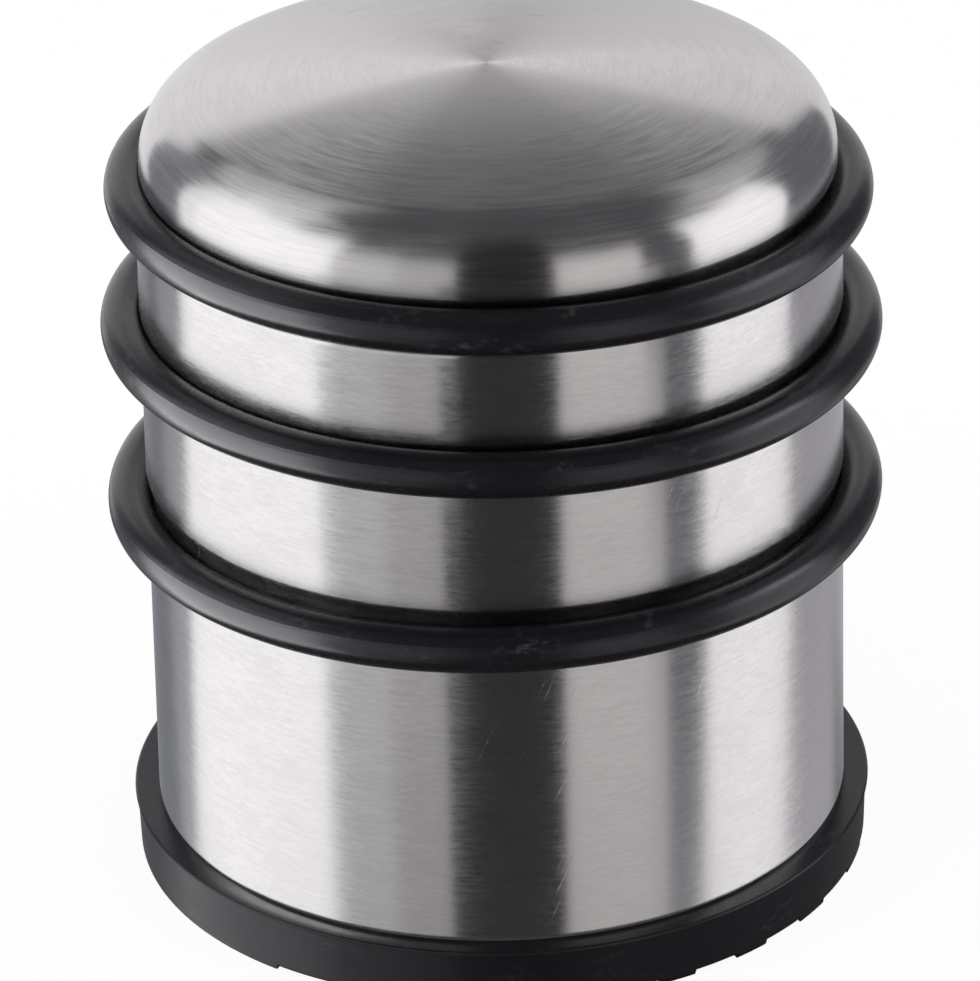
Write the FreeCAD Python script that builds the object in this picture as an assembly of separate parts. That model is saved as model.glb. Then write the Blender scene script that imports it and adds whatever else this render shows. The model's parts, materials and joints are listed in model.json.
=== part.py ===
import FreeCAD, Part
import math
import os

# A weighted floor door stop: a drawn steel casing with three rolled grooves, a rubber ring in
# each groove, an iron weight closed inside, and a ribbed rubber foot screwed on from below.
# Millimetres, +Z up. The origin is on the floor, under the middle of the foot.

# Casing
CASING_RADIUS = 36.0          # at the bottom
SHEET = 0.6
SIDE_HEIGHT = 71.43           # from where the casing stands up to the start of its shoulder
SIDE_DRAFT = 0.45             # how much smaller the radius is at the shoulder, by taper alone
CAP_STEP = 0.51               # how much smaller again it is above the top groove
SHOULDER_RADIUS = 6.5
CROWN_RADIUS = 172.0
HEM_BEND_RADIUS = 0.8         # outer radius of the bend that turns the edge in under the weight
HEM_WIDTH = 3.5

# Rolled grooves, from the top one down
TOP_GROOVE_DEPTH = 1.45
TOP_GROOVE_FLAT = 0.55        # half the width of the groove's flat floor
TOP_GROOVE_LIP_RADIUS = 0.8
TOP_GROOVE_EASE = 0.15        # how much larger the groove's inner curve is than the ring's section
GROOVE_DEPTH = 0.52
MIDDLE_GROOVE_FLAT = 0.6
BOTTOM_GROOVE_FLAT = 1.62     # this groove is wider than its ring, and shows above it
GROOVE_LIP_RADIUS = 1.0
GROOVE_EASE = 0.25
TOP_LAND = 0.8                # between the top groove and the shoulder
TOP_TO_MIDDLE = 14.7
MIDDLE_TO_BOTTOM = 18.95

# Rubber rings
RING_SECTION = 4.5
RING_SEAT_GAP = 0.03
TOP_RING_RISE = -0.6          # of the ring's +X side, as the rings were rolled on by hand
MIDDLE_RING_RISE = -0.52
BOTTOM_RING_RISE = 0.21

# Weight, packing and closing plate
INSERT_CLEARANCE = 0.4        # all round the weight, its packing and its plate
PLATE_THICKNESS = 3.0
PLATE_EDGE_CHAMFER = 0.4
PACKING_THICKNESS = 2.0
WEIGHT_CHAMFER = 1.0
TAPPED_DEPTH = 13.0
DRILL_POINT_ANGLE = 118.0

# Foot
FOOT_HEIGHT = 6.4             # to the edge round the top of the foot
FOOT_DISH = 0.43              # how much lower the casing stands than that edge
FOOT_LEDGE = 2.55             # how far that edge stands out past the casing
FOOT_LIP = 0.25               # how far that edge overhangs the foot's side
FOOT_LIP_HEIGHT = 0.5
FOOT_SIDE_TAPER = 0.15
SPIGOT_CLEARANCE = 0.3
TREAD_DEPTH = 0.6
TREAD_PITCH = 9.16
TREAD_RIB = 3.5
TREAD_DRAFT = 0.35            # how much wider each side of a rib is at its root
TREAD_DIRECTION = -63.5       # degrees from +X
TREAD_OFFSET = 0.4            # of a rib's middle from the foot's middle

# Screw and washer in the foot's pocket
SCREW_DIAMETER = 5.0
SCREW_LENGTH = 16.0
HEAD_DIAMETER = 9.5
HEAD_HEIGHT = 2.75
HEAD_CROWN_RADIUS = 5.6
SOCKET_ACROSS_FLATS = 3.0
SOCKET_DEPTH = 1.6
THREAD_CLEARANCE = 0.05
HOLE_CLEARANCE = 0.25
WASHER_DIAMETER = 15.0
WASHER_THICKNESS = 1.2
WASHER_ROUNDING = 0.3
POCKET_CLEARANCE = 1.0
HEAD_RECESS = 0.65            # of the screw's head above the floor

# Heights that follow
SEAT_Z = FOOT_HEIGHT - FOOT_DISH
HEM_TOP_Z = SEAT_Z + SHEET
PLATE_TOP_Z = HEM_TOP_Z + PLATE_THICKNESS
SHOULDER_Z = SEAT_Z + SIDE_HEIGHT
HEM_INNER_RADIUS = CASING_RADIUS - HEM_WIDTH
INSERT_RADIUS = CASING_RADIUS - SHEET - INSERT_CLEARANCE
WASHER_BOTTOM_Z = HEAD_RECESS + HEAD_HEIGHT
POCKET_TOP_Z = WASHER_BOTTOM_Z + WASHER_THICKNESS


def side_radius(z):
    """The casing's outer radius at a height on its side, which narrows a little upward."""
    return CASING_RADIUS - SIDE_DRAFT * (z - SEAT_Z) / SIDE_HEIGHT


class Groove:
    """One rolled groove: a flat floor, and on each side an inner curve and an outer lip."""

    def __init__(self, depth, flat, lip_radius, ease, step=0.0):
        self.depth = depth
        self.flat = flat
        self.step = step
        self.lip_radius = lip_radius
        self.curve_radius = RING_SECTION / 2 + ease
        self.lower_turn, self.lower_reach = self.side(depth)
        self.upper_turn, self.upper_reach = self.side(depth - step)

    def side(self, depth):
        """How far the two arcs of one side turn, and how far it reaches from the middle."""
        both = self.lip_radius + self.curve_radius
        turn = math.acos(1 - depth / both)
        return math.degrees(turn), self.flat + both * math.sin(turn)

    def place(self, z):
        """Set the groove's height, and so the radii of its rims, its floor and its ring."""
        self.z = z
        self.lower_rim = side_radius(z)
        self.upper_rim = self.lower_rim - self.step
        self.floor_radius = self.lower_rim - self.depth
        self.ring_radius = self.floor_radius + RING_SEAT_GAP + RING_SECTION / 2


def place_grooves():
    """The three grooves, top to bottom, each at its height on the casing."""
    top = Groove(TOP_GROOVE_DEPTH, TOP_GROOVE_FLAT, TOP_GROOVE_LIP_RADIUS, TOP_GROOVE_EASE, CAP_STEP)
    middle = Groove(GROOVE_DEPTH, MIDDLE_GROOVE_FLAT, GROOVE_LIP_RADIUS, GROOVE_EASE)
    bottom = Groove(GROOVE_DEPTH, BOTTOM_GROOVE_FLAT, GROOVE_LIP_RADIUS, GROOVE_EASE)
    top.place(SHOULDER_Z - TOP_LAND - top.upper_reach)
    middle.place(top.z - TOP_TO_MIDDLE)
    bottom.place(middle.z - MIDDLE_TO_BOTTOM)
    return top, middle, bottom


TOP_GROOVE, MIDDLE_GROOVE, BOTTOM_GROOVE = place_grooves()
CAP_RADIUS = side_radius(SHOULDER_Z) - CAP_STEP


def point(radius, z):
    return FreeCAD.Vector(radius, 0, z)


def line(start, end):
    return Part.LineSegment(point(*start), point(*end)).toShape()


def on_circle(centre, radius, angle):
    turn = math.radians(angle)
    return centre[0] + radius * math.cos(turn), centre[1] + radius * math.sin(turn)


def arc(centre, radius, start_angle, end_angle):
    """An arc in the radius-height plane, angles in degrees from the outward direction."""
    angles = (start_angle, (start_angle + end_angle) / 2, end_angle)
    return Part.Arc(*[point(*on_circle(centre, radius, angle)) for angle in angles]).toShape()


def spin(edges):
    """A solid of revolution about the upright axis from a closed outline."""
    wire = Part.Wire(Part.__sortEdges__(edges))
    solid = Part.Face(wire).revolve(FreeCAD.Vector(0, 0, 0), FreeCAD.Vector(0, 0, 1), 360)
    if solid.Volume < 0:
        solid.reverse()
    return solid


def polygon(corners):
    return [line(corners[i], corners[(i + 1) % len(corners)]) for i in range(len(corners))]


def groove_edges(groove, inset):
    """A groove's section from its lower lip to its upper lip, inset from the casing's outside."""
    lip = groove.lip_radius - inset
    curve = groove.curve_radius + inset
    lower_lip = (groove.lower_rim - groove.lip_radius, groove.z - groove.lower_reach)
    upper_lip = (groove.upper_rim - groove.lip_radius, groove.z + groove.upper_reach)
    curve_centre = groove.floor_radius + groove.curve_radius
    floor = groove.floor_radius - inset
    low, high = groove.z - groove.flat, groove.z + groove.flat
    return [
        arc(lower_lip, lip, 0, groove.lower_turn),
        arc((curve_centre, low), curve, 180 + groove.lower_turn, 180),
        line((floor, low), (floor, high)),
        arc((curve_centre, high), curve, 180, 180 - groove.upper_turn),
        arc(upper_lip, lip, -groove.upper_turn, 0),
    ]


def crown_edges(inset):
    """The rounded shoulder and the shallow crown, from the side up to the axis."""
    shoulder_centre = (CAP_RADIUS - SHOULDER_RADIUS, SHOULDER_Z)
    reach = CROWN_RADIUS - SHOULDER_RADIUS
    lean = math.degrees(math.asin(shoulder_centre[0] / reach))
    crown_centre = (0.0, SHOULDER_Z - reach * math.cos(math.radians(lean)))
    return [
        arc(shoulder_centre, SHOULDER_RADIUS - inset, 0, 90 - lean),
        arc(crown_centre, CROWN_RADIUS - inset, 90 - lean, 90),
    ], (0.0, crown_centre[1] + CROWN_RADIUS - inset)


def skin_edges(inset):
    """One skin of the casing from the top of its hem bend to the axis, and where it ends."""
    edges = []
    start = (CASING_RADIUS - inset, SEAT_Z + HEM_BEND_RADIUS)
    for groove in (BOTTOM_GROOVE, MIDDLE_GROOVE, TOP_GROOVE):
        edges.append(line(start, (groove.lower_rim - inset, groove.z - groove.lower_reach)))
        edges += groove_edges(groove, inset)
        start = (groove.upper_rim - inset, groove.z + groove.upper_reach)
    edges.append(line(start, (CAP_RADIUS - inset, SHOULDER_Z)))
    crown, apex = crown_edges(inset)
    return edges + crown, apex


def casing():
    """Drawn steel cup, dome up, with three rolled grooves and its edge hemmed in at the foot."""
    outer, outer_apex = skin_edges(0)
    inner, inner_apex = skin_edges(SHEET)
    bend_centre = (CASING_RADIUS - HEM_BEND_RADIUS, SEAT_Z + HEM_BEND_RADIUS)
    hem = [
        arc(bend_centre, HEM_BEND_RADIUS, 0, -90),
        line((bend_centre[0], SEAT_Z), (HEM_INNER_RADIUS, SEAT_Z)),
        line((HEM_INNER_RADIUS, SEAT_Z), (HEM_INNER_RADIUS, HEM_TOP_Z)),
        line((HEM_INNER_RADIUS, HEM_TOP_Z), (bend_centre[0], HEM_TOP_Z)),
        arc(bend_centre, HEM_BEND_RADIUS - SHEET, -90, 0),
    ]
    return spin(outer + inner + hem + [line(outer_apex, inner_apex)])


def ring(groove, rise):
    """Rubber ring of round section, stretched into its groove a little out of level."""
    torus = Part.makeTorus(groove.ring_radius, RING_SECTION / 2)
    tilt = math.degrees(math.asin(rise / groove.ring_radius))
    torus.rotate(FreeCAD.Vector(0, 0, 0), FreeCAD.Vector(0, -1, 0), tilt)
    torus.translate(FreeCAD.Vector(0, 0, groove.z))
    return torus


def packing_top_z():
    """Where the packing meets the inside of the lowest groove, which stops it rising."""
    curve = BOTTOM_GROOVE.curve_radius + SHEET
    curve_centre = BOTTOM_GROOVE.floor_radius + BOTTOM_GROOVE.curve_radius
    turn = math.acos((curve_centre - INSERT_RADIUS) / curve)
    return BOTTOM_GROOVE.z - BOTTOM_GROOVE.flat - curve * math.sin(turn)


def packing_disc():
    """Fibre disc between the weight and the groove, which keeps the weight from rattling."""
    underside = FreeCAD.Vector(0, 0, packing_top_z() - PACKING_THICKNESS)
    return Part.makeCylinder(INSERT_RADIUS, PACKING_THICKNESS, underside)


def weight():
    """Cast iron slug with chamfered edges and one tapped hole in its underside."""
    bottom, top = PLATE_TOP_Z, packing_top_z() - PACKING_THICKNESS
    edge = INSERT_RADIUS - WEIGHT_CHAMFER
    bore = SCREW_DIAMETER / 2 + THREAD_CLEARANCE
    bore_top = bottom + TAPPED_DEPTH
    point_height = bore / math.tan(math.radians(DRILL_POINT_ANGLE / 2))
    return spin(polygon([
        (bore, bottom), (edge, bottom), (INSERT_RADIUS, bottom + WEIGHT_CHAMFER),
        (INSERT_RADIUS, top - WEIGHT_CHAMFER), (edge, top), (0, top),
        (0, bore_top + point_height), (bore, bore_top),
    ]))


def closing_plate():
    """Punched steel disc that the hem holds in, its lower edge eased for the bend of the hem."""
    bore = SCREW_DIAMETER / 2 + HOLE_CLEARANCE
    edge = INSERT_RADIUS - PLATE_EDGE_CHAMFER
    return spin(polygon([
        (bore, HEM_TOP_Z), (edge, HEM_TOP_Z), (INSERT_RADIUS, HEM_TOP_Z + PLATE_EDGE_CHAMFER),
        (INSERT_RADIUS, PLATE_TOP_Z), (bore, PLATE_TOP_Z),
    ]))


def tread_gap(offset, length):
    """The space between two ribs of the tread, tapered so that each rib is wider at its root."""
    half = (TREAD_PITCH - TREAD_RIB) / 2
    root = half - TREAD_DRAFT
    corners = [(-half, -TREAD_DEPTH), (half, -TREAD_DEPTH), (half, 0), (root, TREAD_DEPTH),
               (-root, TREAD_DEPTH), (-half, 0)]
    outline = [FreeCAD.Vector(-length / 2, offset + y, z) for y, z in corners + corners[:1]]
    return Part.Face(Part.makePolygon(outline)).extrude(FreeCAD.Vector(length, 0, 0))


def tread_gaps(radius):
    """All the spaces between the parallel ribs that run across the foot."""
    count = math.ceil(radius / TREAD_PITCH)
    gaps = [tread_gap(TREAD_OFFSET + (i + 0.5) * TREAD_PITCH, 2.2 * radius) for i in range(-count, count)]
    gaps = Part.makeCompound(gaps)
    gaps.rotate(FreeCAD.Vector(0, 0, 0), FreeCAD.Vector(0, 0, 1), TREAD_DIRECTION)
    return gaps


def foot():
    """Moulded rubber foot: a ledge round the casing, a spigot inside the hem and a ribbed tread."""
    lip = CASING_RADIUS + FOOT_LEDGE
    side = lip - FOOT_LIP
    spigot = HEM_INNER_RADIUS - SPIGOT_CLEARANCE
    pocket = WASHER_DIAMETER / 2 + POCKET_CLEARANCE
    bore = SCREW_DIAMETER / 2 + HOLE_CLEARANCE
    body = spin(polygon([
        (pocket, 0), (side - FOOT_SIDE_TAPER, 0), (side, FOOT_HEIGHT - FOOT_LIP_HEIGHT),
        (lip, FOOT_HEIGHT), (CASING_RADIUS, SEAT_Z), (spigot, SEAT_Z), (spigot, HEM_TOP_Z),
        (bore, HEM_TOP_Z), (bore, POCKET_TOP_Z), (pocket, POCKET_TOP_Z),
    ]))
    return body.cut(tread_gaps(lip))


def foot_washer():
    """Plain washer that spreads the screw's pull over the rubber."""
    bore = SCREW_DIAMETER / 2 + HOLE_CLEARANCE
    outer = WASHER_DIAMETER / 2
    rounded = outer - WASHER_ROUNDING
    return spin([
        line((bore, WASHER_BOTTOM_Z), (rounded, WASHER_BOTTOM_Z)),
        arc((rounded, WASHER_BOTTOM_Z + WASHER_ROUNDING), WASHER_ROUNDING, -90, 0),
        line((outer, WASHER_BOTTOM_Z + WASHER_ROUNDING), (outer, POCKET_TOP_Z)),
        line((outer, POCKET_TOP_Z), (bore, POCKET_TOP_Z)),
        line((bore, POCKET_TOP_Z), (bore, WASHER_BOTTOM_Z)),
    ])


def foot_screw():
    """Button-head socket screw, head down, through the foot and the plate into the weight."""
    shank = SCREW_DIAMETER / 2
    tip = WASHER_BOTTOM_Z + SCREW_LENGTH
    chamfer = shank / 5
    head_edge = HEAD_DIAMETER / 2
    crown_z = HEAD_RECESS + HEAD_CROWN_RADIUS
    edge_angle = -math.degrees(math.acos(head_edge / HEAD_CROWN_RADIUS))
    edge_z = on_circle((0, crown_z), HEAD_CROWN_RADIUS, edge_angle)[1]
    body = spin([
        arc((0, crown_z), HEAD_CROWN_RADIUS, -90, edge_angle),
        line((head_edge, edge_z), (head_edge, WASHER_BOTTOM_Z)),
        line((head_edge, WASHER_BOTTOM_Z), (shank, WASHER_BOTTOM_Z)),
        line((shank, WASHER_BOTTOM_Z), (shank, tip - chamfer)),
        line((shank, tip - chamfer), (shank - chamfer, tip)),
        line((shank - chamfer, tip), (0, tip)),
        line((0, tip), (0, HEAD_RECESS)),
    ])
    corner = SOCKET_ACROSS_FLATS / math.sqrt(3)
    corners = [FreeCAD.Vector(*on_circle((0, 0), corner, 60 * i), 0) for i in range(7)]
    socket = Part.Face(Part.makePolygon(corners)).extrude(FreeCAD.Vector(0, 0, HEAD_RECESS + SOCKET_DEPTH))
    return body.cut(socket)


PARTS = {
    "casing": casing(),
    "ring_top": ring(TOP_GROOVE, TOP_RING_RISE),
    "ring_middle": ring(MIDDLE_GROOVE, MIDDLE_RING_RISE),
    "ring_bottom": ring(BOTTOM_GROOVE, BOTTOM_RING_RISE),
    "packing_disc": packing_disc(),
    "weight": weight(),
    "closing_plate": closing_plate(),
    "foot": foot(),
    "foot_washer": foot_washer(),
    "foot_screw": foot_screw(),
}

os.makedirs("parts", exist_ok=True)
for name, shape in PARTS.items():
    shape.exportStep("parts/" + name + ".step")
    box = shape.BoundBox
    print("%-14s solids %d valid %s volume %.1f cm3  z %.2f to %.2f  radius %.2f" % (
        name, len(shape.Solids), shape.isValid(), shape.Volume / 1000, box.ZMin, box.ZMax, box.XMax))
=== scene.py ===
import json
import math

import bmesh
import bpy
from mathutils import Matrix, Vector

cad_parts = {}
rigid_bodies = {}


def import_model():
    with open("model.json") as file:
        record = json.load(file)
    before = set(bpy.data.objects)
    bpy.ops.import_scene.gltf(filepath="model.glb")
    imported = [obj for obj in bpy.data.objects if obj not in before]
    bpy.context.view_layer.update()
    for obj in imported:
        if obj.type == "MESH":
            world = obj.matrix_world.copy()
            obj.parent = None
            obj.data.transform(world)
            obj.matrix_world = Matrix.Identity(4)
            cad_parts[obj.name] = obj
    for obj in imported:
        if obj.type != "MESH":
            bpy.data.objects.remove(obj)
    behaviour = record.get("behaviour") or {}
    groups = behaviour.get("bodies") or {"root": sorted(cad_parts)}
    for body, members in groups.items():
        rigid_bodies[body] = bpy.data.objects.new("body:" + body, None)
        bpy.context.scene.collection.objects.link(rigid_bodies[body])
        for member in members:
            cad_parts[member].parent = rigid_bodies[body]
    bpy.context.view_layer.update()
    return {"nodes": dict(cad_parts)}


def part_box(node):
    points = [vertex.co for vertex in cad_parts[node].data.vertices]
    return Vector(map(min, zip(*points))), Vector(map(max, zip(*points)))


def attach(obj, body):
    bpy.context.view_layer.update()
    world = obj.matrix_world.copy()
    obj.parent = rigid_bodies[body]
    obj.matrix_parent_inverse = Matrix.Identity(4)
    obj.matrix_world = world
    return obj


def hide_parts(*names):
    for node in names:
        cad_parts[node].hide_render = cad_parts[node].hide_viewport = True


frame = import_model()

# Camera: in front of the stop and above it, with a long lens, turned a little about its own
# axis as the photograph is.
CAMERA_PLACE = Vector((-0.00055, -0.56603, 0.32278))
LOOKING_DOWN = 26.65
CAMERA_ROLL = -1.287
SENSOR_WIDTH = 36.0
LENS = 225.79

camera_data = bpy.data.cameras.new("camera")
camera_data.sensor_fit = "HORIZONTAL"
camera_data.sensor_width = SENSOR_WIDTH
camera_data.lens = LENS
camera = bpy.data.objects.new("camera", camera_data)
camera.matrix_world = (
    Matrix.Translation(CAMERA_PLACE)
    @ Matrix.Rotation(math.radians(90 - LOOKING_DOWN), 4, "X")
    @ Matrix.Rotation(math.radians(CAMERA_ROLL), 4, "Z")
)
bpy.context.scene.collection.objects.link(camera)
bpy.context.scene.camera = camera


# Casing: a cup of thin stainless steel, drawn in one piece and brushed round and round. Three
# grooves rolled into its side hold the rubber rings, and its open edge is hemmed in at the foot.
SHEET = 0.6
SIDE_DRAFT = 0.45
CAP_STEP = 0.51
SHOULDER_RADIUS = 6.5
CROWN_RADIUS = 172.0
TOP_LAND = 0.8
HEM_BEND_RADIUS = 0.8
HEM_WIDTH = 3.5
TOP_GROOVE = {"depth": 1.45, "flat": 0.55, "lip": 0.8, "curve": 2.4, "step": CAP_STEP}
MIDDLE_GROOVE = {"depth": 0.52, "flat": 0.6, "lip": 1.0, "curve": 2.5, "step": 0.0}
BOTTOM_GROOVE = {"depth": 0.52, "flat": 1.62, "lip": 1.0, "curve": 2.5, "step": 0.0}
STEPS_ROUND = 240
HEM_STEPS = 8
GROOVE_STEPS = 6
SHOULDER_STEPS = 20
CROWN_STEPS = 24
SHARP_FROM = 40
MERGE_WITHIN = 1e-3

# Sizes are in millimetres and angles in degrees, where no comment says metres.
MM = 0.001

# The casing's finish. A pattern is its packing along each axis, its detail and its roughness, and
# a share says how much of each pattern goes into the tone or the gloss.
STEEL = (0.655, 0.645, 0.645, 1)
STEEL_WORN = (0.57, 0.562, 0.567, 1)
SIDE_BRUSHING = {
    "roughness": 0.22,
    "anisotropy": 0.9,
    "bump": 0.12,
    "fine": ((34, 34, 5), 3, 0.55),
    "coarse": ((11, 11, 2.2), 3, 0.6),
}
CROWN_BRUSHING = {
    "roughness": 0.235,
    "anisotropy": 0.93,
    "bump": 0.1,
    "fine": ((7, 7, 3.6), 3, 0.55),
    "coarse": ((2.4, 2.4, 1.5), 3, 0.6),
}
BRUSHED_ROUND = 0.25
NEAREST_AXIS = 0.05
BRUSHING_DEPTH = 0.04
STEEL_CLOUDS = ((0.16, 0.16, 0.3), 3, 0.55)
STEEL_TONE = {"fine": 0.4, "coarse": 0.35, "cloudy": 0.25}
STEEL_TONE_RANGE = (0.38, 0.62)
STEEL_UNEVENNESS = {"fine": 0.12, "coarse": 0.12, "cloudy": 0.06}
STEEL_RELIEF = {"fine": 0.5, "coarse": 0.5}
HAIRLINE_LEAN = 66
HAIRLINES = ((0.1, 3.4, 1), 2, 0.5)
HAIRLINE_RANGE = (0.64, 0.78)
HAIRLINE_PATCHES = ((0.09, 0.09, 0.09), 1, 0.5)
HAIRLINE_PATCH_RANGE = (0.48, 0.6)
HAIRLINE_DULLNESS = 0.07
HAIRLINE_BUMP = 0.2
HAIRLINE_DEPTH = 0.02


class Outline:
    """Half of a round piece's section, drawn point by point in millimetres."""

    def __init__(self, radius, z):
        self.mesh = bmesh.new()
        self.tip = self.mesh.verts.new((radius, 0, z))
        self.first = self.tip

    def line(self, radius, z):
        """A straight run to a point."""
        end = self.mesh.verts.new((radius, 0, z))
        self.mesh.edges.new((self.tip, end))
        self.tip = end

    def arc(self, radius, z, degrees, steps):
        """A round stretch about a centre, anticlockwise where it is positive."""
        turned = bmesh.ops.spin(
            self.mesh, geom=[self.tip], cent=(radius, 0, z), axis=(0, -1, 0),
            angle=math.radians(degrees), steps=steps,
        )
        self.tip = [v for v in turned["geom_last"] if isinstance(v, bmesh.types.BMVert)][0]

    def close(self):
        """A straight run back to the first point."""
        self.mesh.edges.new((self.tip, self.first))

    def revolve(self):
        """The outline taken all the way round the upright axis, in metres, facing outwards."""
        everything = self.mesh.verts[:] + self.mesh.edges[:]
        bmesh.ops.spin(
            self.mesh, geom=everything, cent=(0, 0, 0), axis=(0, 0, 1),
            angle=2 * math.pi, steps=STEPS_ROUND, use_merge=True,
        )
        bmesh.ops.remove_doubles(self.mesh, verts=self.mesh.verts, dist=MERGE_WITHIN)
        bmesh.ops.recalc_face_normals(self.mesh, faces=self.mesh.faces)
        bmesh.ops.scale(self.mesh, vec=(MM, MM, MM), verts=self.mesh.verts)
        return self.mesh


def make_piece(name, mesh, finish, sharp_from=SHARP_FROM):
    """An object in one finish, smooth but for edges that turn by sharp_from or more."""
    data = bpy.data.meshes.new(name)
    mesh.to_mesh(data)
    mesh.free()
    data.shade_smooth()
    data.set_sharp_from_angle(angle=math.radians(sharp_from))
    data.materials.append(finish)
    piece = bpy.data.objects.new(name, data)
    bpy.context.scene.collection.objects.link(piece)
    return piece


class Value:
    """A node's output. Python arithmetic on it adds the Math nodes."""

    def __init__(self, shader, output):
        self.shader = shader
        self.output = output

    def __getitem__(self, name):
        return Value(self.shader, self.output.node.outputs[name])

    def __add__(self, other):
        return self.shader.maths("ADD", self, other)

    def __sub__(self, other):
        return self.shader.maths("SUBTRACT", self, other)

    def __rsub__(self, other):
        return self.shader.maths("SUBTRACT", other, self)

    def __mul__(self, other):
        return self.shader.maths("MULTIPLY", self, other)

    def __truediv__(self, other):
        return self.shader.maths("DIVIDE", self, other)

    __radd__ = __add__
    __rmul__ = __mul__


class Shader:
    """A node tree, of a material or of the world, built one node at a time."""

    def __init__(self, tree):
        self.tree = tree

    def feed(self, socket, value):
        """Links an output to a socket, or sets the socket to a plain number or colour."""
        if isinstance(value, Value):
            self.tree.links.new(value.output, socket)
        else:
            socket.default_value = value

    def node(self, kind, settings, inputs, output=0):
        """A node with its settings made first, and then its sockets set or linked."""
        made = self.tree.nodes.new(kind)
        for name, value in settings.items():
            setattr(made, name, value)
        for name, value in inputs.items():
            self.feed(made.inputs[name], value)
        return Value(self, made.outputs[output])

    def maths(self, operation, *values):
        """A Math node on outputs and numbers."""
        return self.node("ShaderNodeMath", {"operation": operation}, dict(enumerate(values)))

    def noise(self, place, packing, detail, roughness):
        """Cloudy noise, packed close or drawn out along each axis."""
        scaled = {0: place, 1: packing}
        packed = self.node("ShaderNodeVectorMath", {"operation": "MULTIPLY"}, scaled)
        inputs = {"Vector": packed, "Scale": 1, "Detail": detail, "Roughness": roughness}
        return self.node("ShaderNodeTexNoise", {}, inputs)

    def rise(self, value, start, end):
        """A smooth change from nought to one as the value goes from start to end."""
        inputs = {"Value": value, "From Min": start, "From Max": end}
        return self.node("ShaderNodeMapRange", {"interpolation_type": "SMOOTHSTEP"}, inputs)

    def blend(self, factor, first, second):
        """A colour between two, all the first at nought and all the second at one."""
        # Sockets 6 and 7 and output 2 are the ones for colours.
        inputs = {0: factor, 6: first, 7: second}
        return self.node("ShaderNodeMix", {"data_type": "RGBA"}, inputs, 2)

    def millimetres(self):
        """Where a point is on the piece, in millimetres."""
        place = self.node("ShaderNodeTexCoord", {}, {}, "Object")
        inputs = {0: place, "Scale": 1 / MM}
        return self.node("ShaderNodeVectorMath", {"operation": "SCALE"}, inputs)

    def axes(self, place):
        """The three coordinates of a place."""
        parts = self.node("ShaderNodeSeparateXYZ", {}, {0: place})
        return parts["X"], parts["Y"], parts["Z"]

    def together(self, patterns, shares, middle=0.0):
        """Patterns added up by their shares, each counted from a middle value."""
        total = 0
        for name, share in shares.items():
            total = (patterns[name] - middle) * share + total
        return total

    def bump(self, height, strength, depth, under=None):
        """A normal bumped by a pattern, with its depth in millimetres, over another if given."""
        inputs = {"Height": height, "Strength": strength, "Distance": depth * MM}
        if under is not None:
            inputs["Normal"] = under
        return self.node("ShaderNodeBump", {}, inputs)


def new_finish(name, **constants):
    """A material's node tree, with its surface shader's fixed values set on their own sockets."""
    material = bpy.data.materials.new(name)
    material.use_nodes = True
    shader = Shader(material.node_tree)
    shader.material = material
    shader.surface = material.node_tree.nodes["Principled BSDF"].inputs
    for socket, value in constants.items():
        shader.surface[socket.replace("_", " ")].default_value = value
    return shader


def brushed_steel(name, brushing, scratched):
    """Stainless steel brushed round and round, in fine lines over coarser ones, with clouds."""
    steel = new_finish(
        name, Metallic=1.0, Anisotropic=brushing["anisotropy"], Anisotropic_Rotation=BRUSHED_ROUND
    )
    place = steel.millimetres()
    x, y, z = steel.axes(place)
    radius = steel.maths("MAXIMUM", steel.maths("SQRT", x * x + y * y), NEAREST_AXIS)
    round_and_out = {0: x / radius, 1: y / radius, 2: z - radius}
    brushed = steel.node("ShaderNodeCombineXYZ", {}, round_and_out)
    patterns = {
        "fine": steel.noise(brushed, *brushing["fine"]),
        "coarse": steel.noise(brushed, *brushing["coarse"]),
        "cloudy": steel.noise(place, *STEEL_CLOUDS),
    }
    tone = steel.rise(steel.together(patterns, STEEL_TONE), *STEEL_TONE_RANGE)
    dullness = steel.together(patterns, STEEL_UNEVENNESS, 0.5)
    lines = steel.bump(steel.together(patterns, STEEL_RELIEF), brushing["bump"], BRUSHING_DEPTH)
    if scratched:
        hairlines = slanting_hairlines(steel, place)
        dullness = dullness + hairlines * HAIRLINE_DULLNESS
        lines = steel.bump(hairlines, HAIRLINE_BUMP, HAIRLINE_DEPTH, lines)
    steel.feed(steel.surface["Base Color"], steel.blend(tone, STEEL_WORN, STEEL))
    steel.feed(steel.surface["Roughness"], brushing["roughness"] + dullness)
    steel.feed(steel.surface["Normal"], lines)
    return steel.material


def slanting_hairlines(steel, place):
    """Short straight scratches in a few patches of the side, all leaning about the same way."""
    x, y, z = steel.axes(place)
    lean = math.radians(HAIRLINE_LEAN)
    around = steel.maths("ARCTAN2", x, 0 - y) * casing_radius
    along = around * math.cos(lean) + z * math.sin(lean)
    across = z * math.cos(lean) - around * math.sin(lean)
    unrolled = steel.node("ShaderNodeCombineXYZ", {}, {0: along, 1: across, 2: 0.0})
    lines = steel.rise(steel.noise(unrolled, *HAIRLINES), *HAIRLINE_RANGE)
    return lines * steel.rise(steel.noise(place, *HAIRLINE_PATCHES), *HAIRLINE_PATCH_RANGE)


casing_low, casing_high = [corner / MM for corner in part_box("casing")]
casing_radius, seat_z = casing_high.x, casing_low.z
ring_heights = []
for ring_node in ("ring_bottom", "ring_middle", "ring_top"):
    ring_low, ring_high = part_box(ring_node)
    ring_heights.append((ring_low.z + ring_high.z) / 2 / MM)


def groove_side(groove, depth):
    """How far one side of a groove turns, and how far it reaches from the groove's middle."""
    both = groove["lip"] + groove["curve"]
    turn = math.acos(1 - depth / both)
    return math.degrees(turn), groove["flat"] + both * math.sin(turn)


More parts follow.
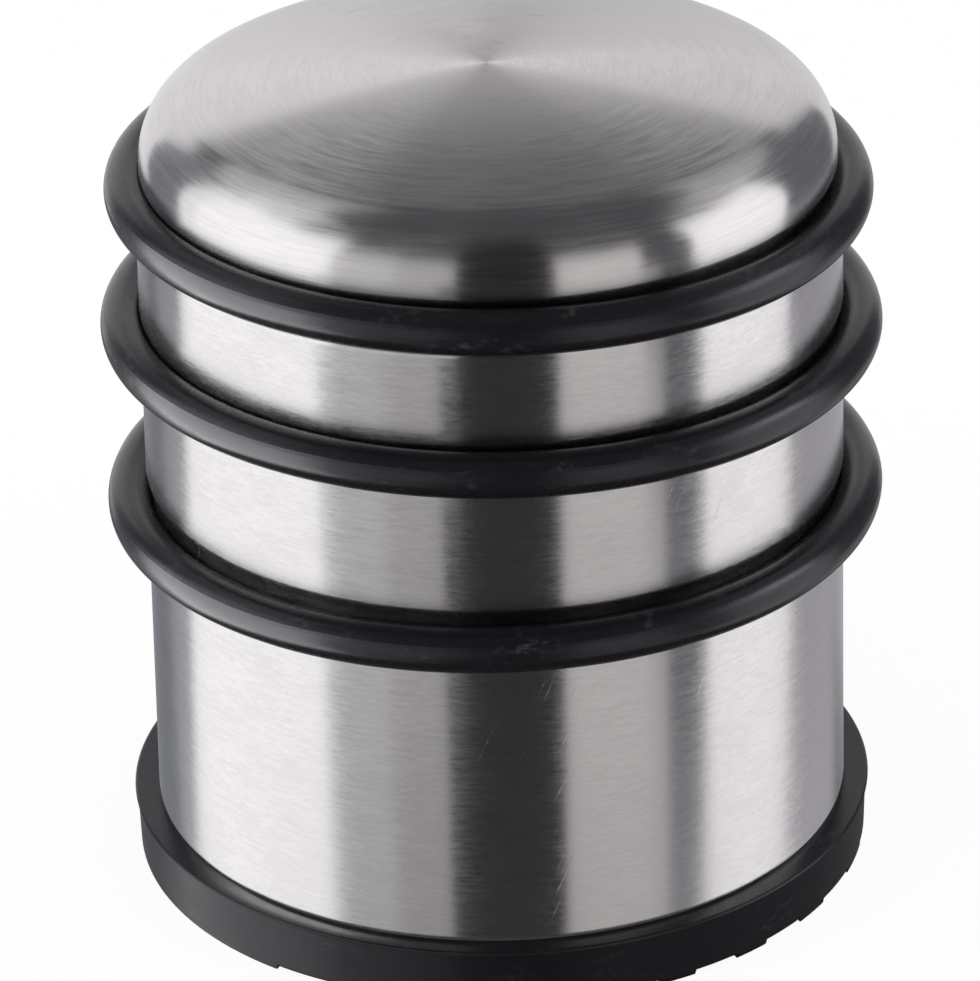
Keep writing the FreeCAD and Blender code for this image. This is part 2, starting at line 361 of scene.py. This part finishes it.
top_groove_reach = groove_side(TOP_GROOVE, TOP_GROOVE["depth"] - CAP_STEP)[1]
shoulder_z = ring_heights[-1] + top_groove_reach + TOP_LAND
cap_radius = casing_radius - SIDE_DRAFT - CAP_STEP


def add_groove(outline, groove, z):
    """A rolled groove from its lower lip to its upper one, its floor flat between two curves."""
    rim = casing_radius - SIDE_DRAFT * (z - seat_z) / (shoulder_z - seat_z)
    floor = rim - groove["depth"]
    turn, reach = groove_side(groove, groove["depth"])
    outline.line(rim, z - reach)
    outline.arc(rim - groove["lip"], z - reach, turn, GROOVE_STEPS)
    outline.arc(floor + groove["curve"], z - groove["flat"], -turn, GROOVE_STEPS)
    outline.line(floor, z + groove["flat"])
    turn, reach = groove_side(groove, groove["depth"] - groove["step"])
    outline.arc(floor + groove["curve"], z + groove["flat"], -turn, GROOVE_STEPS)
    outline.arc(rim - groove["step"] - groove["lip"], z + reach, turn, GROOVE_STEPS)


def drawn_casing():
    """The cup from the inner edge of its hem, up its side and over the shoulder to the crown."""
    skin = Outline(casing_radius - HEM_WIDTH, seat_z)
    skin.line(casing_radius - HEM_BEND_RADIUS, seat_z)
    skin.arc(casing_radius - HEM_BEND_RADIUS, seat_z + HEM_BEND_RADIUS, 90, HEM_STEPS)
    for groove, z in zip((BOTTOM_GROOVE, MIDDLE_GROOVE, TOP_GROOVE), ring_heights):
        add_groove(skin, groove, z)
    skin.line(cap_radius, shoulder_z)
    reach = CROWN_RADIUS - SHOULDER_RADIUS
    lean = math.asin((cap_radius - SHOULDER_RADIUS) / reach)
    skin.arc(
        cap_radius - SHOULDER_RADIUS, shoulder_z, 90 - math.degrees(lean), SHOULDER_STEPS
    )
    skin.arc(0, shoulder_z - reach * math.cos(lean), math.degrees(lean), CROWN_STEPS)
    mesh = skin.revolve()
    bmesh.ops.solidify(mesh, geom=mesh.faces[:], thickness=SHEET * MM)
    # The crown's brushing takes over from the side's behind the top ring.
    for face in mesh.faces:
        face.material_index = int(face.calc_center_median().z > ring_heights[-1] * MM)
    return mesh


brushed_side = brushed_steel("brushed_side", SIDE_BRUSHING, True)
brushed_crown = brushed_steel("brushed_crown", CROWN_BRUSHING, False)
casing = make_piece("steel_casing", drawn_casing(), brushed_side)
casing.data.materials.append(brushed_crown)
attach(casing, "root")
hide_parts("casing")


# Rubber rings: three moulded rings of round section, stretched over the casing into its grooves.
# Each sits a little out of level, and a fine parting line from the mould runs round it.
RING_SECTION = 4.5
RING_RISES = {"ring_top": -0.6, "ring_middle": -0.52, "ring_bottom": 0.21}
PARTING_LINE_TURN = 34
PARTING_LINE_WIDTH = 4
PARTING_LINE_HEIGHT = 0.015
RING_SQUEEZE = 0.03
RING_STEPS = 84
RING_ROUGHNESS = 0.27
RUBBER = (0.0054, 0.0052, 0.007, 1)
RUBBER_SCUFFED = (0.024, 0.024, 0.027, 1)
RUBBER_SHEEN = {
    "IOR": 1.44,
    "Specular_Tint": (0.95, 0.94, 1.0, 1),
    "Coat_Weight": 0.0,
    "Coat_IOR": 2.1,
    "Coat_Roughness": 0.07,
}
RUBBER_PATTERNS = {
    "grain": ((5, 5, 5), 3, 0.6),
    "dust": ((0.16, 0.16, 0.5), 4, 0.6),
    "marks": ((0.9, 0.9, 2.0), 3, 0.6),
}
DUST_RANGE = (0.5, 0.72)
MARKS_RANGE = (0.48, 0.7)
RUBBER_UNEVENNESS = {"dust": 0.14, "marks": 0.08, "grain": 0.04}
RUBBER_RELIEF = {"grain": 0.4, "marks": 0.6}
RUBBER_BUMP = 0.15
RUBBER_DEPTH = 0.05
SCUFF_DULLNESS = 0.1


def moulded_rubber(name, roughness):
    """Black rubber with a dull sheen, faintly grained, and paler where it is scuffed or dusty."""
    rubber = new_finish(name, **RUBBER_SHEEN)
    place = rubber.millimetres()
    patterns = {kind: rubber.noise(place, *look) for kind, look in RUBBER_PATTERNS.items()}
    dusty = rubber.rise(patterns["dust"], *DUST_RANGE)
    scuff = dusty * rubber.rise(patterns["marks"], *MARKS_RANGE)
    uneven = rubber.together(patterns, RUBBER_UNEVENNESS, 0.5)
    relief = rubber.together(patterns, RUBBER_RELIEF)
    rubber.feed(rubber.surface["Base Color"], rubber.blend(scuff, RUBBER, RUBBER_SCUFFED))
    rubber.feed(rubber.surface["Roughness"], roughness + uneven + scuff * SCUFF_DULLNESS)
    rubber.feed(rubber.surface["Normal"], rubber.bump(relief, RUBBER_BUMP, RUBBER_DEPTH))
    return rubber


def rubber_ring(rise, outer_radius, z):
    """A ring of round section with its parting line standing proud, tilted to its rise."""
    ridge_reach = RING_SECTION / 2 + RING_SQUEEZE
    reach = ridge_reach - PARTING_LINE_HEIGHT
    middle = outer_radius - ridge_reach
    ridge = math.radians(PARTING_LINE_TURN)
    start = math.radians(PARTING_LINE_TURN + PARTING_LINE_WIDTH / 2)
    ring = Outline(middle + reach * math.cos(start), reach * math.sin(start))
    ring.arc(middle, 0, 360 - PARTING_LINE_WIDTH, RING_STEPS)
    ring.line(middle + ridge_reach * math.cos(ridge), ridge_reach * math.sin(ridge))
    ring.close()
    mesh = ring.revolve()
    tilt = -math.asin(rise / middle)
    turn = Matrix.Rotation(tilt, 3, "Y")
    bmesh.ops.rotate(mesh, verts=mesh.verts, cent=(0, 0, 0), matrix=turn)
    bmesh.ops.translate(mesh, verts=mesh.verts, vec=(0, 0, z * MM))
    return mesh


ring_rubber = moulded_rubber("ring_rubber", RING_ROUGHNESS).material
rubber_rings = bpy.data.collections.new("rubber_rings")
for node, rise in RING_RISES.items():
    ring_low, ring_high = [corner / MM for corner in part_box(node)]
    ring_mesh = rubber_ring(rise, ring_high.y, (ring_low.z + ring_high.z) / 2)
    ring = make_piece("rubber_" + node, ring_mesh, ring_rubber)
    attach(ring, "root")
    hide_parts(node)
    rubber_rings.objects.link(ring)


# Foot: a disc of moulded rubber under the casing, standing out past it as a ledge. Its underside
# is ribbed straight across for grip, with a round pocket in the middle for the screw's head.
FOOT_HEIGHT = 6.4
FOOT_LEDGE = 2.55
FOOT_LIP = 0.25
FOOT_LIP_HEIGHT = 0.5
FOOT_SIDE_TAPER = 0.15
FOOT_ROUNDING = 0.25
FOOT_ROUNDING_STEPS = 4
FOOT_LIP_STEPS = 5
FOOT_SHARP_FROM = 30
FOOT_ROUGHNESS = 0.3
SPIGOT_CLEARANCE = 0.3
POCKET_RADIUS = 8.5
POCKET_TOP = 4.6
SCREW_HOLE_RADIUS = 2.75
TREAD_DEPTH = 0.6
TREAD_PITCH = 9.16
TREAD_RIB = 3.5
TREAD_DRAFT = 0.35
TREAD_DIRECTION = -63.5
TREAD_OFFSET = 0.4
TREAD_MARGIN = 0.15
TAPER_AT_TREAD = 1 / 8
BAR_LENGTH = 2.2

# The polished stretch of the ledge: each range goes from where it is dull to where it is polished.
POLISH_OUTWARDS = (2.1, 0.9)
POLISH_UPWARDS = (5.0, 6.0)
POLISH_RIGHT_END = (-9, -17)
POLISH_LEFT_END = (-31, -25)
POLISH_FRONTWARDS = (0, -6)


def foot_body():
    """The foot before its tread is cut, with its moulded edges rounded.

    A row of points just above the tread keeps its cut within the lowest faces of the side.
    """
    lip = casing_radius + FOOT_LEDGE
    side = lip - FOOT_LIP
    spigot = casing_radius - HEM_WIDTH - SPIGOT_CLEARANCE
    bottom = side - FOOT_SIDE_TAPER
    foot = Outline(POCKET_RADIUS, FOOT_ROUNDING)
    foot.arc(POCKET_RADIUS + FOOT_ROUNDING, FOOT_ROUNDING, 90, FOOT_ROUNDING_STEPS)
    foot.line(bottom - FOOT_ROUNDING, 0)
    foot.arc(bottom - FOOT_ROUNDING, FOOT_ROUNDING, 90, FOOT_ROUNDING_STEPS)
    foot.line(bottom + FOOT_SIDE_TAPER * TAPER_AT_TREAD, TREAD_DEPTH + TREAD_MARGIN)
    foot.line(side, FOOT_HEIGHT - FOOT_LIP_HEIGHT)
    foot.line(lip, FOOT_HEIGHT - FOOT_ROUNDING)
    foot.arc(lip - FOOT_ROUNDING, FOOT_HEIGHT - FOOT_ROUNDING, 90, FOOT_LIP_STEPS)
    foot.line(casing_radius, seat_z)
    foot.line(spigot, seat_z)
    foot.line(spigot, seat_z + SHEET)
    foot.line(SCREW_HOLE_RADIUS, seat_z + SHEET)
    foot.line(SCREW_HOLE_RADIUS, POCKET_TOP)
    foot.line(POCKET_RADIUS, POCKET_TOP)
    foot.close()
    return foot.revolve()


def tread_cutter():
    """All the grooves between the ribs, as one mesh of tapered bars."""
    mesh = bmesh.new()
    reach = casing_radius + FOOT_LEDGE
    count = math.ceil(reach / TREAD_PITCH)
    gap = TREAD_PITCH - TREAD_RIB
    for i in range(-count, count):
        bar = bmesh.ops.create_cube(mesh, size=1)["verts"]
        bmesh.ops.scale(mesh, verts=bar, vec=(BAR_LENGTH * reach, gap, 2 * TREAD_DEPTH))
        roof = [v for v in bar if v.co.z > 0]
        bmesh.ops.scale(mesh, verts=roof, vec=(1, (gap - 2 * TREAD_DRAFT) / gap, 1))
        across = TREAD_OFFSET + (i + 0.5) * TREAD_PITCH
        bmesh.ops.translate(mesh, verts=bar, vec=(0, across, 0))
    turn = Matrix.Rotation(math.radians(TREAD_DIRECTION), 3, "Z")
    bmesh.ops.rotate(mesh, verts=mesh.verts, cent=(0, 0, 0), matrix=turn)
    bmesh.ops.scale(mesh, verts=mesh.verts, vec=(MM, MM, MM))
    return mesh


def cut_away(piece, cutter):
    """Takes the cutter's shape out of the piece for good, and removes the cutter."""
    modifier = piece.modifiers.new("tread", "BOOLEAN")
    modifier.operation = "DIFFERENCE"
    modifier.solver = "EXACT"
    modifier.object = cutter
    bpy.context.view_layer.update()
    finished = piece.evaluated_get(bpy.context.evaluated_depsgraph_get())
    cut = bpy.data.meshes.new_from_object(finished)
    piece.modifiers.clear()
    piece.data = cut
    bpy.data.objects.remove(cutter)


def polished_ledge(rubber):
    """Rubs the ledge smooth beside the casing at the left front, where it mirrors the steel."""
    x, y, z = rubber.axes(rubber.millimetres())
    out = rubber.maths("SQRT", x * x + y * y) - casing_radius
    beside_casing = rubber.rise(out, *POLISH_OUTWARDS) * rubber.rise(z, *POLISH_UPWARDS)
    along = rubber.rise(x, *POLISH_RIGHT_END) * rubber.rise(x, *POLISH_LEFT_END)
    left_front = along * rubber.rise(y, *POLISH_FRONTWARDS)
    rubber.feed(rubber.surface["Coat Weight"], beside_casing * left_front)


foot_finish = moulded_rubber("foot_rubber", FOOT_ROUGHNESS)
polished_ledge(foot_finish)
foot_rubber = foot_finish.material
foot = make_piece("rubber_foot", foot_body(), foot_rubber, FOOT_SHARP_FROM)
cut_away(foot, make_piece("tread_cutter", tread_cutter(), foot_rubber, FOOT_SHARP_FROM))
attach(foot, "root")
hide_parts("foot")

# The steel's bands run straight down to the ledge, so the steel doesn't mirror the foot.
foot.visible_glossy = False


# Inside the casing: a cast iron weight, a fibre disc above it that stops it rattling, and the
# punched steel plate below it that the hem holds in. A bump is its strength and its depth.
IRON_DARK = (0.06, 0.055, 0.052, 1)
IRON_LIGHT = (0.16, 0.15, 0.145, 1)
IRON_GRIT = ((1.5, 1.5, 1.5), 5, 0.65)
IRON_ROUGHNESS = 0.55
IRON_UNEVENNESS = 0.3
IRON_BUMP = (0.5, 0.1)
FIBRE_DARK = (0.16, 0.1, 0.06, 1)
FIBRE_LIGHT = (0.42, 0.31, 0.2, 1)
FIBRE_FLECKS = ((1.8, 1.8, 7.2), 4, 0.7)
FIBRE_ROUGHNESS = 0.85
FIBRE_UNEVENNESS = 0.2
FIBRE_BUMP = (0.4, 0.1)
PUNCHED_STEEL = (0.52, 0.52, 0.53, 1)
PLATING_SMEAR = ((0.8, 0.8, 0.8), 4, 0.6)
PLATING_WORN = 0.8
PLATING_ROUGHNESS = 0.32
PLATING_UNEVENNESS = 0.25
PLATING_BUMP = (0.2, 0.05)


def cast_iron():
    """Dull grey iron with a gritty skin, as it leaves the mould."""
    iron = new_finish("cast_iron", Metallic=0.8)
    grit = iron.noise(iron.millimetres(), *IRON_GRIT)
    iron.feed(iron.surface["Base Color"], iron.blend(grit, IRON_DARK, IRON_LIGHT))
    iron.feed(iron.surface["Roughness"], IRON_ROUGHNESS + (grit - 0.5) * IRON_UNEVENNESS)
    iron.feed(iron.surface["Normal"], iron.bump(grit, *IRON_BUMP))
    return iron.material


def pressed_fibre():
    """Brown board pressed from flecked fibres."""
    fibre = new_finish("pressed_fibre")
    flecks = fibre.noise(fibre.millimetres(), *FIBRE_FLECKS)
    fibre.feed(fibre.surface["Base Color"], fibre.blend(flecks, FIBRE_DARK, FIBRE_LIGHT))
    fibre.feed(fibre.surface["Roughness"], FIBRE_ROUGHNESS + (flecks - 0.5) * FIBRE_UNEVENNESS)
    fibre.feed(fibre.surface["Normal"], fibre.bump(flecks, *FIBRE_BUMP))
    return fibre.material


def plated_steel(name, colour):
    """Smooth bright steel, a little smeared and darker where it is worn."""
    plated = new_finish(name, Metallic=1.0)
    smear = plated.noise(plated.millimetres(), *PLATING_SMEAR)
    worn = [channel * PLATING_WORN for channel in colour[:3]] + [1]
    plated.feed(plated.surface["Base Color"], plated.blend(smear, worn, colour))
    uneven = (smear - 0.5) * PLATING_UNEVENNESS
    plated.feed(plated.surface["Roughness"], PLATING_ROUGHNESS + uneven)
    plated.feed(plated.surface["Normal"], plated.bump(smear, *PLATING_BUMP))
    return plated.material


def refinish(node, material):
    """Gives a piece of the frame a finish of its own, and leaves its shape as it is."""
    for slot in frame["nodes"][node].material_slots:
        slot.material = material


refinish("weight", cast_iron())
refinish("packing_disc", pressed_fibre())
refinish("closing_plate", plated_steel("punched_steel", PUNCHED_STEEL))


# Fixings: a button-head socket screw and a plain washer, both zinc plated, up in the pocket of
# the foot. They hold the foot against the closing plate.
ZINC = (0.62, 0.63, 0.65, 1)
zinc = plated_steel("zinc_plated_steel", ZINC)
refinish("foot_screw", zinc)
refinish("foot_washer", zinc)


# Floor: a wide white table top, in metres. It takes the stop's shadow, and stays out of the
# reflections. The background's white shows through it by a fixed part.
FLOOR_SIZE = 6.0
FLOOR_LIGHT = (0.92, 0.92, 0.92, 1)
FLOOR_DARK = (0.9, 0.9, 0.9, 1)
FLOOR_DRIFT = ((0.01, 0.01, 0.01), 2, 0.5)
FLOOR_ROUGHNESS = 0.9
FLOOR_WHITE = 0.93


def show_background(shader):
    """One for the rays that see the background: the camera's, and off metal or through glass."""
    path = shader.node("ShaderNodeLightPath", {}, {})
    seen = path["Is Camera Ray"] + path["Is Glossy Ray"] + path["Is Transmission Ray"]
    return shader.maths("MINIMUM", seen, 1)


def white_table():
    """A dull white top that glows white for the rays that see the background."""
    table = new_finish("white_table", Roughness=FLOOR_ROUGHNESS)
    drift = table.noise(table.millimetres(), *FLOOR_DRIFT)
    table.feed(table.surface["Base Color"], table.blend(drift, FLOOR_DARK, FLOOR_LIGHT))
    glow = table.node("ShaderNodeEmission", {}, {"Color": (1, 1, 1, 1), "Strength": 1.0})
    factor = show_background(table) * FLOOR_WHITE
    top = Value(table, table.tree.nodes["Principled BSDF"].outputs[0])
    mixed = table.node("ShaderNodeMixShader", {}, {0: factor, 1: top, 2: glow})
    table.feed(table.tree.nodes["Material Output"].inputs["Surface"], mixed)
    return table.material


floor_mesh = bmesh.new()
bmesh.ops.create_grid(floor_mesh, x_segments=1, y_segments=1, size=FLOOR_SIZE / 2)
floor = make_piece("floor", floor_mesh, white_table())
floor.visible_glossy = False
floor.visible_shadow = False


# Studio: even light from all round, a soft lamp on each side, and glowing cards that show only
# in reflections. A card is a piece of a sphere round the stop, whose radius is in metres. Its
# row gives two azimuths from the front, two elevations, its strength and its tint.
CARD_DISTANCE = 2.0
CARDS = (
    ("back_left", -180, -142, -18, 32, 1.0, (1.0, 0.98, 0.995)),
    ("back_left_low", -180, -137, -45, -18, 0.24, (0.93, 0.97, 1.07)),
    ("left_gap", -142, -116, -18, 40, 0.26, (0.94, 0.97, 1.06)),
    ("left_gap_top", -160, -119, 40, 64, 0.62, (1.0, 1.0, 1.0)),
    ("left_edge_low", -137, -125, -45, -27.5, 0.55, (0.97, 0.98, 1.03)),
    ("left_edge_middle", -137, -119, -27.5, -18, 0.45, (0.97, 0.98, 1.03)),
    ("left_softbox_low", -125, -58, -45, -27.5, 1.4, (1.0, 0.99, 1.0)),
    ("left_softbox_middle", -119, -58, -27.5, -15, 1.38, (1.0, 0.99, 1.0)),
    ("left_softbox_edge", -116, -106, -15, 40, 1.25, (1.0, 0.99, 1.0)),
    ("left_softbox", -106, -51, -15, 42, 1.5, (1.0, 0.99, 1.0)),
    ("left_softbox_top", -119, -80, 42, 62, 0.85, (1.0, 0.99, 1.0)),
    ("left_grey_low", -58, -36, -45, -15, 0.6, (1.0, 0.99, 0.99)),
    ("left_grey", -51, -30, -15, 30, 0.78, (1.0, 0.99, 0.99)),
    ("left_grey_dim_low", -36, -17, -45, -15, 0.47, (1.0, 0.975, 0.975)),
    ("left_grey_dim", -30, -11, -15, 28, 0.64, (1.0, 0.98, 0.98)),
    ("front_black_low", -17, 21, -45, -15, 0.045, (1.0, 1.0, 1.0)),
    ("front_black", -11, 20, -15, 64, 0.03, (1.0, 1.0, 1.0)),
    ("right_grey", 20, 48, -15, 26, 0.85, (1.0, 0.955, 0.945)),
    ("right_strip_middle", 56, 72, -28, -15, 0.12, (0.97, 0.97, 1.05)),
    ("right_strip", 48, 66, -15, 30, 0.1, (0.97, 0.97, 1.05)),
    ("right_softbox", 66, 108, -15, 37, 1.45, (1.0, 0.98, 0.99)),
    ("right_softbox_top", 92, 112, 37, 56, 0.5, (1.0, 0.98, 0.99)),
    ("right_gap", 108, 150, -18, 37, 0.17, (0.97, 0.96, 1.05)),
    ("right_gap_top", 112, 158, 37, 56, 0.5, (1.0, 1.0, 1.0)),
    ("back_right", 150, 180, -18, 32, 0.85, (1.0, 0.975, 0.995)),
)

# These light the casing and the rings alone, and leave the foot dark.
LOW_RIGHT_CARDS = (
    ("right_grey_low", 21, 56, -45, -15, 0.53, (1.0, 0.955, 0.945)),
    ("right_strip_low", 55, 68, -45, -28, 0.27, (0.97, 0.97, 1.05)),
    ("right_softbox_low", 70, 110, -45, -15, 1.07, (1.0, 0.98, 0.99)),
    ("back_right_low", 110, 150, -45, -18, 0.36, (0.98, 0.96, 1.03)),
    ("back_right_middle", 150, 180, -28, -18, 0.36, (0.98, 0.96, 1.03)),
)

# A dim room behind all of them, for the gaps between them and for the foot.
BEHIND_CARDS = 2.2
DIM_CARDS = (
    ("dark_ceiling", -180, 180, 20, 90, 0.1, (0.97, 0.98, 1.04)),
    ("dark_table", -180, 180, -90, -40, 0.06, (1.0, 1.0, 1.0)),
    ("dim_low_right", 20, 182, -40, -15, 0.15, (1.0, 0.97, 1.0)),
)

# Nearer ones give the rubber rings their broad highlight, and light nothing else.
BEFORE_CARDS = 1.9
RING_CARDS = (
    ("rings_left_softbox", -116, -52, -42, 22, 4.3, (1.0, 1.0, 1.0)),
    ("rings_right_strip", 78, 104, 18, 36, 3.0, (1.0, 0.99, 1.0)),
)
CARD_STEPS = 12
CARD_STEP_ROUND = 4


def reflector(distance, name, start, end, bottom, top, strength, tint, lit=None):
    """A card that only glossy rays see. With a collection to light, the rest sees through it."""
    low_edge = math.radians(bottom)
    card = Outline(distance * math.cos(low_edge), distance * math.sin(low_edge))
    card.arc(0, 0, top - bottom, CARD_STEPS)
    mesh = card.mesh
    first_side = Matrix.Rotation(math.radians(start - 90), 3, "Z")
    bmesh.ops.rotate(mesh, verts=mesh.verts, cent=(0, 0, 0), matrix=first_side)
    bmesh.ops.spin(
        mesh, geom=mesh.verts[:] + mesh.edges[:], cent=(0, 0, 0), axis=(0, 0, 1),
        angle=math.radians(end - start), steps=max(2, round((end - start) / CARD_STEP_ROUND)),
    )
    glow = new_finish(name)
    shine = glow.node("ShaderNodeEmission", {}, {"Color": (*tint, 1), "Strength": strength})
    if lit is not None:
        clear = glow.node("ShaderNodeBsdfTransparent", {}, {})
        shine = glow.node("ShaderNodeAddShader", {}, {0: shine, 1: clear})
    glow.feed(glow.tree.nodes["Material Output"].inputs["Surface"], shine)
    made = make_piece(name, mesh, glow.material)
    made.visible_camera = False
    made.visible_diffuse = False
    made.visible_transmission = False
    made.visible_shadow = False
    if lit is not None:
        made.light_linking.receiver_collection = lit


above_the_foot = bpy.data.collections.new("above_the_foot")
above_the_foot.objects.link(casing)
for ring in rubber_rings.objects:
    above_the_foot.objects.link(ring)
for card in CARDS:
    reflector(CARD_DISTANCE, *card)
for card in LOW_RIGHT_CARDS:
    reflector(CARD_DISTANCE, *card, above_the_foot)
for card in DIM_CARDS:
    reflector(BEHIND_CARDS, *card)
for card in RING_CARDS:
    reflector(BEFORE_CARDS, *card, rubber_rings)

# Each lamp's place and size in metres, and its power in watts. All point at the stop.
LAMPS = (
    ("left_lamp", (-0.8, -0.35, 0.75), 0.7, 5.0),
    ("right_lamp", (0.85, -0.3, 0.7), 0.6, 3.5),
)
for name, place, size, power in LAMPS:
    light = bpy.data.lights.new(name, "AREA")
    light.size = size
    light.energy = power
    lamp = bpy.data.objects.new(name, light)
    lamp.location = place
    lamp.rotation_euler = Vector(place).to_track_quat("Z", "Y").to_euler()
    lamp.visible_glossy = False
    bpy.context.scene.collection.objects.link(lamp)

world = bpy.data.worlds.new("studio")
world.use_nodes = True
world.cycles.sampling_method = "NONE"
bpy.context.scene.world = world
surroundings = Shader(world.node_tree)

# The room's light on the stop, and full white where the background itself is seen.
ROOM_LIGHT = 0.75
strength = ROOM_LIGHT + (1 - ROOM_LIGHT) * show_background(surroundings)
background = world.node_tree.nodes["Background"].inputs
surroundings.feed(background["Color"], (1, 1, 1, 1))
surroundings.feed(background["Strength"], strength)
bpy.context.scene.view_settings.view_transform = "Standard"
